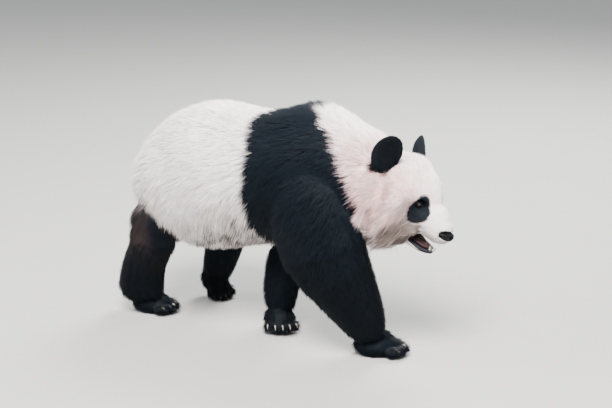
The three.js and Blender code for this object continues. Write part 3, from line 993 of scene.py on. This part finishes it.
def pieceOf(hide):
    x, y, z = hide.points[hide.corners].mean(axis=1).T
    inHead = toHead(np.stack([x, y, z], axis=1))
    group = np.array(groups)[hide.shares[hide.corners].mean(axis=1).argmax(axis=1)]
    onFace = (inHead[:, 0] > 0.012) & (np.abs(inHead[:, 1]) < 0.115) & (inHead[:, 2] > -0.16)
    rules = {
        "coat_shoulders": group == "shoulders",
        "coat_neck": group == "neck",
        "coat_face": (group == "jaw") | (group == "head") & onFace,
        "coat_crown": group == "head",
        "coat_ears": group == "ear",
        "coat_forelegs": (group == "leg") & (x > -0.2),
        "coat_hindlegs": group == "leg",
        "coat_paws": group == "paw",
        "coat_trunk_left": (group == "tail") | (y > 0),
    }
    return np.select(list(rules.values()), list(rules), "coat_trunk_right")


def fringeOf(hide):  # the belly's edge, the elbow and the lower cheek
    middle, normal, share = (v[hide.corners].mean(axis=1) for v in (hide.points, hide.normals, hide.shares))
    inHead = toHead(middle)
    low = (shareOf(share, "trunk", "shoulders") > 0.6) & (normal[:, 2] < -0.30)
    ruff = (shareOf(share, "head") > 0.6) & (inHead[:, 2] < -0.055) & (inHead[:, 0] < 0.045)
    return low | (ruff & (np.abs(inHead[:, 1]) > 0.035))


def scatter(hide, faces, count):
    inHead = toHead(hide.points[hide.corners[faces]].mean(axis=1))
    bare = hide.bare[hide.corners[faces]].mean(axis=1)
    fine = 1 + 1.6 * faceShare(inHead)
    weights = hide.areas[faces] * fine * (bare < 0.5)
    total = np.cumsum(weights)
    spots = (np.arange(count) + dice.random(count)) / count * total[-1]
    chosen = faces[np.minimum(np.searchsorted(total, spots), len(faces) - 1)]
    r1, r2 = np.sqrt(dice.random(count)), dice.random(count)
    parts = np.stack([1 - r1, r1 * (1 - r2), r1 * r2], axis=1)
    return chosen, parts


def blended(values, corners, parts):
    picked = values[corners]
    return (picked * parts.reshape(parts.shape + (1,) * (picked.ndim - 2))).sum(axis=1)


tuftForms = {  # points from root to tip, with the faces between them; a kneed tuft bends once
    "straight": {
        "faces": [(0, 3, 1), (1, 3, 2), (2, 3, 0), (0, 1, 2)],
        "along": (0, 0, 0.06, 1.0),
        "patch": [(-0.5, -0.5), (0.5, -0.5), (0.0, -0.3), (0.0, 0.5)],
    },
    "kneed": {
        "faces": [(0, 3, 4, 1), (1, 4, 5, 2), (2, 5, 3, 0), (3, 6, 4), (4, 6, 5), (5, 6, 3), (0, 1, 2)],
        "along": (0, 0, 0.05, 0.5, 0.5, 0.55, 1.0),
        "patch": [(-0.5, -0.5), (0.5, -0.5), (0.0, -0.5), (-0.4, 0.0), (0.4, 0.0), (0.0, 0.0), (0.0, 0.5)],
    },
}


def tuftMesh(name, form, points, soft, place, marks):
    count, each = points.shape[:2]
    mesh = bpy.data.meshes.new(name)
    mesh.vertices.add(count * each)
    mesh.vertices.foreach_set("co", points.astype(np.float32).ravel())
    pattern = np.concatenate([np.array(f) for f in form["faces"]])
    starts = np.cumsum([0] + [len(f) for f in form["faces"][:-1]])
    turn = np.arange(count)[:, None]
    mesh.loops.add(count * len(pattern))
    mesh.loops.foreach_set("vertex_index", (turn * each + pattern).astype(np.int32).ravel())
    mesh.polygons.add(count * len(form["faces"]))
    mesh.polygons.foreach_set("loop_start", (turn * len(pattern) + starts).astype(np.int32).ravel())
    mesh.polygons.foreach_set("use_smooth", np.ones(count * len(form["faces"]), bool))
    mesh.update(calc_edges=True)
    spots = place[:, None, :] + bakePatch * np.array(form["patch"])
    layer = mesh.uv_layers.new(name="OFBake")
    layer.data.foreach_set("uv", spots[:, pattern].astype(np.float32).ravel())
    setAttribute(mesh, "marks", np.repeat(marks, each, axis=0))
    setAttribute(mesh, "along", np.tile(form["along"], count))
    mesh.normals_split_custom_set_from_vertices(soft.reshape(-1, 3))
    return mesh


def lockMates(root, area, gap):  # the tuft that each one's lock gathers round
    count = len(root)
    seeds = dice.choice(count, min(max(int(area / gap**2), 4), count), replace=False)
    finder = kdtree.KDTree(len(seeds))
    for i, k in enumerate(seeds):
        finder.insert(root[k], i)
    finder.balance()
    return seeds[np.array([finder.find(p)[1] for p in root])]


def unevenMarks(marks, mates, contrast):  # tufts and locks differ, and few are half black
    count = len(marks)
    edge = marks[:, 0] + np.clip(dice.normal(0, 0.13, count), -0.28, 0.28)
    marks[:, 0] = smooth(0.34, 0.66, edge)
    perLock = dice.random(count)[mates]
    uneven = 0.15 + 0.45 * dice.random(count) + 1.5 * perLock**1.5
    marks[:, 1] = np.clip(marks[:, 1] * (uneven + 0.45 * marks[:, 1] ** 4), 0, 1)
    marks[:, 2] = np.clip(marks[:, 2] * (0.35 + 1.3 * dice.random(count)), 0, 1)
    # the fourth channel paints light and shade per tuft and per lock, more strongly low on the body, in the
    # ruff and under the belly: low values shade the white, high ones give the black a sheen
    shade = dice.normal(0, 0.17, count) + 0.50 * (dice.random(count)[mates] - 0.5)
    marks[:, 3] = np.clip(0.5 + shade * (1 + 0.9 * contrast), 0, 1)
    return marks


def growCoat(name, count, plan):
    fringe = name == "coat_fringe"
    faces = np.nonzero(fringeFaces if fringe else pieceNames == name)[0]
    chosen, parts = scatter(hide, faces, count)
    corners = hide.corners[chosen]
    root, normal, lay, shares, marks, depth = (
        blended(values, corners, parts)
        for values in (hide.points, hide.normals, hide.lay, hide.broad, hide.marks, hide.depth))
    normal, lay = unit(normal), unit(lay)
    place = (hide.places[chosen] * parts[:, :, None]).sum(axis=1)

    inHead = toHead(root)
    onFace = faceShare(inHead) * shareOf(shares, "head", "jaw")
    hang = smooth(-0.25, -0.8, normal[:, 2]) * shareOf(shares, "trunk", "shoulders")
    low = smooth(0.54, 0.40, root[:, 2]) * shareOf(shares, "trunk") * (1 - hang)
    ruff = shareOf(shares, "head") * smooth(-0.02, -0.08, inHead[:, 2]) * smooth(0.06, 0.03, inHead[:, 0])
    lift = np.radians(shares @ plan["lift"] * (1 - 0.35 * onFace))
    lift *= 1 - 0.30 * np.maximum(low, ruff)
    lift = (lift + hang * math.radians(12)) * (0.75 + 0.5 * dice.random(count))
    size = 0.74 + 0.30 * dice.random(count) + 0.16 * shareOf(shares, "leg")
    length = np.clip(depth / np.sin(lift) * size, *plan["length"])
    length *= 1 - 0.4 * onFace * marks[:, 0]
    width = shares @ plan["width"] * (1 - 0.45 * onFace) * (0.75 + 0.5 * dice.random(count))
    if fringe:
        length = np.clip(length * plan["fringe"], *plan["fringeLength"])
        width = width * plan["fringe"]
    atEdge = np.clip(6 * marks[:, 0] * (1 - marks[:, 0]), 0, 1)
    width = np.minimum(width * (1 - plan["edgeFiner"] * atEdge), length * 0.4)
    lay = turned(lay, np.cross(lay, normal), dice.normal(0, plan["stray"], count))
    aside = np.cross(lay, normal)

    base = root - normal * plan["rooted"]
    knee = base + (length * 0.5)[:, None] * turned(lay, normal, lift * 1.35)
    tip = base + length[:, None] * turned(lay, normal, lift)
    gap = float(np.mean(shares @ plan["clump"]))
    mates = lockMates(root, hide.areas[faces].sum(), gap)
    apart = np.linalg.norm(root - root[mates], axis=1) / gap
    gather = shares @ plan["gather"] * (0.5 + dice.random(count)) * smooth(1.6, 0.5, apart)
    gather *= 1 - plan["edgeLooser"] * atEdge
    offset = flattened((tip[mates] - tip) * gather[:, None], normal)
    tip = tip + offset
    knee = knee + offset * 0.35

    thick = normal * (width * 0.32)[:, None]
    half = aside * (width * 0.5)[:, None]
    spread = aside * 0.40
    points = [base - half, base + half, base + thick]
    soft = [normal - spread, normal + spread, normal]
    if fringe:
        points += [knee - half * 0.86, knee + half * 0.86, knee + thick * 0.9]
        soft += soft
    points = np.stack(points + [tip], axis=1)
    soft = np.stack(soft + [normal + lay * (0.35 if fringe else 0.30)], axis=1)
    lowest, highest = np.array(cadBox[0]) - plan["past"], np.array(cadBox[1]) + plan["past"]
    lowest[2] = plan["overFloor"]
    points = np.clip(points, lowest, highest)

    marks = unevenMarks(marks, mates, np.max([low, ruff, hang], axis=0))
    form = tuftForms["kneed" if fringe else "straight"]
    piece = newObject(name, tuftMesh(name, form, points, unit(soft), place, marks))
    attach(piece, "root")
    return piece


pieceNames = pieceOf(hide)
fringeFaces = fringeOf(hide)
coat = [growCoat(name, count, coatPlan) for name, (count, slot) in piecePlan.items()]
print("coat:", sum(count for count, slot in piecePlan.values()), "tufts in", len(coat), "pieces")


class Value:  # a socket that can be written as maths
    def __init__(self, finish, socket):
        self.finish, self.socket = finish, socket

    def maths(self, operation, *values):
        return self.finish.node("ShaderNodeMath", {"operation": operation}, *values)["Value"]

    def __add__(self, other):
        return self.maths("ADD", self, other)

    def __rsub__(self, other):
        return self.maths("SUBTRACT", other, self)

    def __mul__(self, other):
        return self.maths("MULTIPLY", self, other)

    def limited(self, low, high, start=0.0, end=1.0):
        settings = {"interpolation_type": "SMOOTHSTEP"}
        return self.finish.node("ShaderNodeMapRange", settings, self, low, high, start, end)["Result"]


class Finish:  # one material and its nodes
    def __init__(self, name, **shader):
        self.material = bpy.data.materials.new(name)
        self.material.use_nodes = True
        self.tree = self.material.node_tree
        self.shader = self.tree.nodes["Principled BSDF"]
        self.feed(**shader)

    def node(self, kind, settings, *values, **named):
        made = self.tree.nodes.new(kind)
        for key, value in settings.items():
            setattr(made, key, value)
        for socket, value in [*zip(made.inputs, values), *((made.inputs[k], v) for k, v in named.items())]:
            self.plug(socket, value)
        return {out.name: Value(self, out) for out in made.outputs if out.enabled}

    def plug(self, socket, value):
        if isinstance(value, Value):
            self.tree.links.new(value.socket, socket)
        else:
            socket.default_value = value

    def feed(self, **sockets):
        for name, value in sockets.items():
            self.plug(self.shader.inputs[name.replace("_", " ")], value)

    def attribute(self, name):
        return self.node("ShaderNodeAttribute", {"attribute_name": name})["Fac"]

    def place(self):
        return self.node("ShaderNodeTexCoord", {})["Object"]

    def noise(self, scale, detail):
        return self.node("ShaderNodeTexNoise", {}, self.place(), Scale=scale, Detail=detail)["Fac"]

    def cells(self, scale, **settings):
        return self.node("ShaderNodeTexVoronoi", settings, self.place(), Scale=scale)["Distance"]

    def bump(self, height, strength, distance):
        return self.node("ShaderNodeBump", {}, strength, distance, Height=height)["Normal"]

    def colour(self, one, other, share):
        made = self.tree.nodes.new("ShaderNodeMix")
        made.data_type = "RGBA"
        for socket, value in ((made.inputs[0], share), (made.inputs[6], one), (made.inputs[7], other)):
            self.plug(socket, (*value, 1) if isinstance(value, tuple) else value)
        return Value(self, made.outputs[2])


coatColours = {
    # the roots are darker than the tips: painted shade deep in the coat; the white's root is also a real
    # yellowish tint
    "whiteRootTintAndShade": (0.62, 0.565, 0.53),
    "whiteTip": (0.94, 0.915, 0.90),
    # greyer white on some tufts and locks: painted shade in the gaps between locks
    "whiteLockShade": (0.52, 0.465, 0.43),
    # the black colours lean blue: painted blue sheen on the black fur
    "blackRootShade": (0.0007, 0.0015, 0.0024),
    "blackTipBlueSheen": (0.0012, 0.0040, 0.0075),
    # lighter, bluer black on some tufts and locks: painted sheen
    "blackLockSheen": (0.0050, 0.0075, 0.0105),
    # the stain colour, also laid where the belly faces down as painted shade
    "stainAndShade": (0.085, 0.062, 0.052),
    "blush": (0.54, 0.28, 0.27),
    "blackBrown": (0.030, 0.020, 0.019),
    "bare": (0.006, 0.006, 0.009),
    "bareWorn": (0.011, 0.010, 0.015),
    "mouth": (0.012, 0.006, 0.009),
}


def coatColour(finish, along):
    tone = finish.node("ShaderNodeAttribute", {"attribute_name": "marks"})
    channels = finish.node("ShaderNodeSeparateColor", {}, tone["Color"])
    shade = tone["Alpha"]
    # root to tip, white and black: the darker roots are painted shade inside the coat
    white = finish.colour(coatColours["whiteRootTintAndShade"], coatColours["whiteTip"], along)
    # painted shade on the lower-valued white locks
    white = finish.colour(white, coatColours["whiteLockShade"], (1 - shade).limited(0.42, 1.0, 0.0, 0.70))
    white = finish.colour(white, coatColours["blush"], channels["Blue"] * 0.85)
    # stain, and under the belly painted shade
    white = finish.colour(white, coatColours["stainAndShade"], channels["Green"] * 0.92)
    # the black's bluer tips: painted sheen
    black = finish.colour(coatColours["blackRootShade"], coatColours["blackTipBlueSheen"], along)
    # the black's brighter locks: painted sheen
    black = finish.colour(black, coatColours["blackLockSheen"], shade.limited(0.55, 1.0, 0.0, 0.5))
    black = finish.colour(black, coatColours["blackBrown"], channels["Green"] * 0.7)
    return finish.colour(white, black, channels["Red"]), channels["Red"], shade


def coatFinish():
    finish = Finish("coat", Sheen_Weight=0.01, Sheen_Roughness=0.5, Specular_IOR_Level=0.10)
    along = finish.attribute("along").limited(0.12, 0.95)
    colour, black, shade = coatColour(finish, along)
    finish.feed(Base_Color=colour, Roughness=0.82 - black * 0.20 + shade * 0.08)
    return finish.material


partColours = {
    "iris": ((0.014, 0.006, 0.003), (0.040, 0.018, 0.008)),
    "irisEdge": (0.005, 0.003, 0.002),
    "eyeWhite": (0.022, 0.014, 0.012),
    "pupil": (0.002, 0.002, 0.002),
    "nose": ((0.0016, 0.0020, 0.0030), (0.0042, 0.0046, 0.0062)),
    # painted shade in the nostrils and the groove
    "nostril": (0.0015, 0.0013, 0.0013),
    "tongue": ((0.36, 0.115, 0.100), (0.50, 0.205, 0.180)),
    # painted shade on the tongue's back, inside the mouth
    "throat": (0.012, 0.006, 0.008),
    "claw": ((0.30, 0.265, 0.215), (0.13, 0.105, 0.080)),
    "clawTip": (0.50, 0.465, 0.40),
    "tooth": ((0.40, 0.34, 0.25), (0.54, 0.48, 0.38)),
}


def skinFinish():
    finish = Finish("hide", Specular_IOR_Level=0.15)
    fuzz = finish.noise(420.0, 4.0)
    patchy = finish.noise(46.0, 3.0)
    colour, black, shade = coatColour(finish, fuzz.limited(0.30, 0.72) * 0.75 + patchy * 0.15)
    bare = finish.attribute("bare").limited(0.35, 0.75)
    leather = finish.colour(coatColours["bare"], coatColours["bareWorn"], patchy.limited(0.4, 0.7))
    leather = finish.colour(leather, coatColours["mouth"], finish.attribute("inside").limited(0.3, 0.8))
    height = fuzz * (1 - bare) + finish.cells(620.0) * bare * 0.4
    finish.feed(Base_Color=finish.colour(colour, leather, bare), Roughness=0.88 - bare * 0.46,
                Normal=finish.bump(height, 0.8, 0.0016))
    return finish.material


def eyeFinish():
    finish = Finish("eye", Roughness=0.16, Coat_Weight=0.5, Coat_Roughness=0.03, Specular_IOR_Level=0.4)
    ring = finish.attribute("iris")
    slit = finish.attribute("pupil")
    streaks = finish.noise(900.0, 3.0)
    iris = finish.colour(*partColours["iris"], streaks.limited(0.35, 0.65))
    iris = finish.colour(iris, partColours["irisEdge"], ring.limited(0.48, 0.60))
    ball = finish.colour(iris, partColours["eyeWhite"], ring.limited(eyePlan["iris"], eyePlan["iris"] + 0.06))
    outside = slit.limited(eyePlan["pupil"], eyePlan["pupil"] + 0.05)
    finish.feed(Base_Color=finish.colour(partColours["pupil"], ball, outside))
    return finish.material


def noseFinish():
    finish = Finish("nose", Specular_IOR_Level=0.10)
    cloudy = finish.noise(90.0, 4.0)
    hole = finish.attribute("hole").limited(0.25, 0.75)
    colour = finish.colour(*partColours["nose"], cloudy.limited(0.35, 0.7))
    # darker in the nostrils and the groove: painted shade in the hollows
    colour = finish.colour(colour, partColours["nostril"], hole)
    pebble = finish.cells(560.0, feature="SMOOTH_F1")
    finish.feed(Base_Color=colour, Roughness=cloudy * 0.16 + 0.44 + hole * 0.3,
                Normal=finish.bump(pebble, 0.55, 0.0012))
    return finish.material


def tongueFinish():
    finish = Finish("tongue", Specular_IOR_Level=0.2)
    buds = finish.cells(700.0)
    cloudy = finish.noise(110.0, 3.0).limited(0.3, 0.7)
    colour = finish.colour(*partColours["tongue"], cloudy)
    # painted shade inside the mouth over the tongue's back
    colour = finish.colour(colour, partColours["throat"], finish.attribute("tongueShadeShare") * 0.96)
    finish.feed(Base_Color=colour, Roughness=buds * 0.25 + 0.30, Normal=finish.bump(buds, 0.4, 0.0008))
    return finish.material


def clawFinish():
    finish = Finish("claw", Specular_IOR_Level=0.5)
    layered = finish.noise(240.0, 5.0)
    low = finish.node("ShaderNodeSeparateXYZ", {}, finish.place())["Z"]
    colour = finish.colour(*partColours["claw"], layered.limited(0.4, 0.75))
    colour = finish.colour(partColours["clawTip"], colour, low.limited(0.003, 0.012))
    finish.feed(Base_Color=colour, Roughness=layered * 0.2 + 0.34, Normal=finish.bump(layered, 0.25, 0.0008))
    return finish.material


def toothFinish():
    finish = Finish("tooth", Roughness=0.22, Specular_IOR_Level=0.5)
    cloudy = finish.noise(260.0, 3.0).limited(0.35, 0.65)
    finish.feed(Base_Color=finish.colour(*partColours["tooth"], cloudy))
    return finish.material


def wear(pieces, material):
    for piece in pieces:
        piece.data.materials.append(material)


wear(coat, coatFinish())
wear([skin], skinFinish())
wear(eyes, eyeFinish())
wear([nose], noseFinish())
wear([tongue], tongueFinish())
wear([teeth], toothFinish())
wear(claws, clawFinish())
print("materials set")

stagePlan = {
    "floorHalf": 18.0,
    "floor": (0.31, 0.306, 0.30),
    "world": (0.86, 0.90, 0.95),
    "worldPower": 0.95,
    "aim": (0.0, 0.0, 0.4),  # where the lights point
    "lights": [
        {"at": (1.6, -3.2, 4.9), "size": 3.0, "power": 1850, "colour": (1.0, 0.975, 0.94)},
        {"at": (-3.6, -2.6, 2.8), "size": 2.8, "power": 180, "colour": (0.94, 0.97, 1.0)},
        {"at": (-0.6, 3.6, 3.9), "size": 2.6, "power": 760, "colour": (1.0, 0.99, 0.97)},
    ],
}


def makeStage(plan):
    shape = bmesh.new()
    bmesh.ops.create_grid(shape, x_segments=1, y_segments=1, size=plan["floorHalf"])
    floor = newObject("floor", meshOf(shape, "floor"))
    finish = Finish("floor", Roughness=0.9)
    darker = tuple(0.95 * c for c in plan["floor"])
    finish.feed(Base_Color=finish.colour(darker, plan["floor"], finish.noise(3.0, 5.0)))
    wear([floor], finish.material)
    world = bpy.data.worlds.new("studio")
    world.use_nodes = True
    colour, strength = world.node_tree.nodes["Background"].inputs[:2]
    colour.default_value, strength.default_value = (*plan["world"], 1), plan["worldPower"]
    bpy.context.scene.world = world
    for i, light in enumerate(plan["lights"]):
        data = bpy.data.lights.new("softbox_%d" % i, "AREA")
        data.shape, data.size = "DISK", light["size"]
        data.energy, data.color = light["power"], light["colour"]
        lamp = newObject("softbox_%d" % i, data)
        lamp.location = light["at"]
        aim = Vector(plan["aim"]) - lamp.location
        lamp.rotation_euler = aim.to_track_quat("-Z", "Y").to_euler()


makeStage(stagePlan)
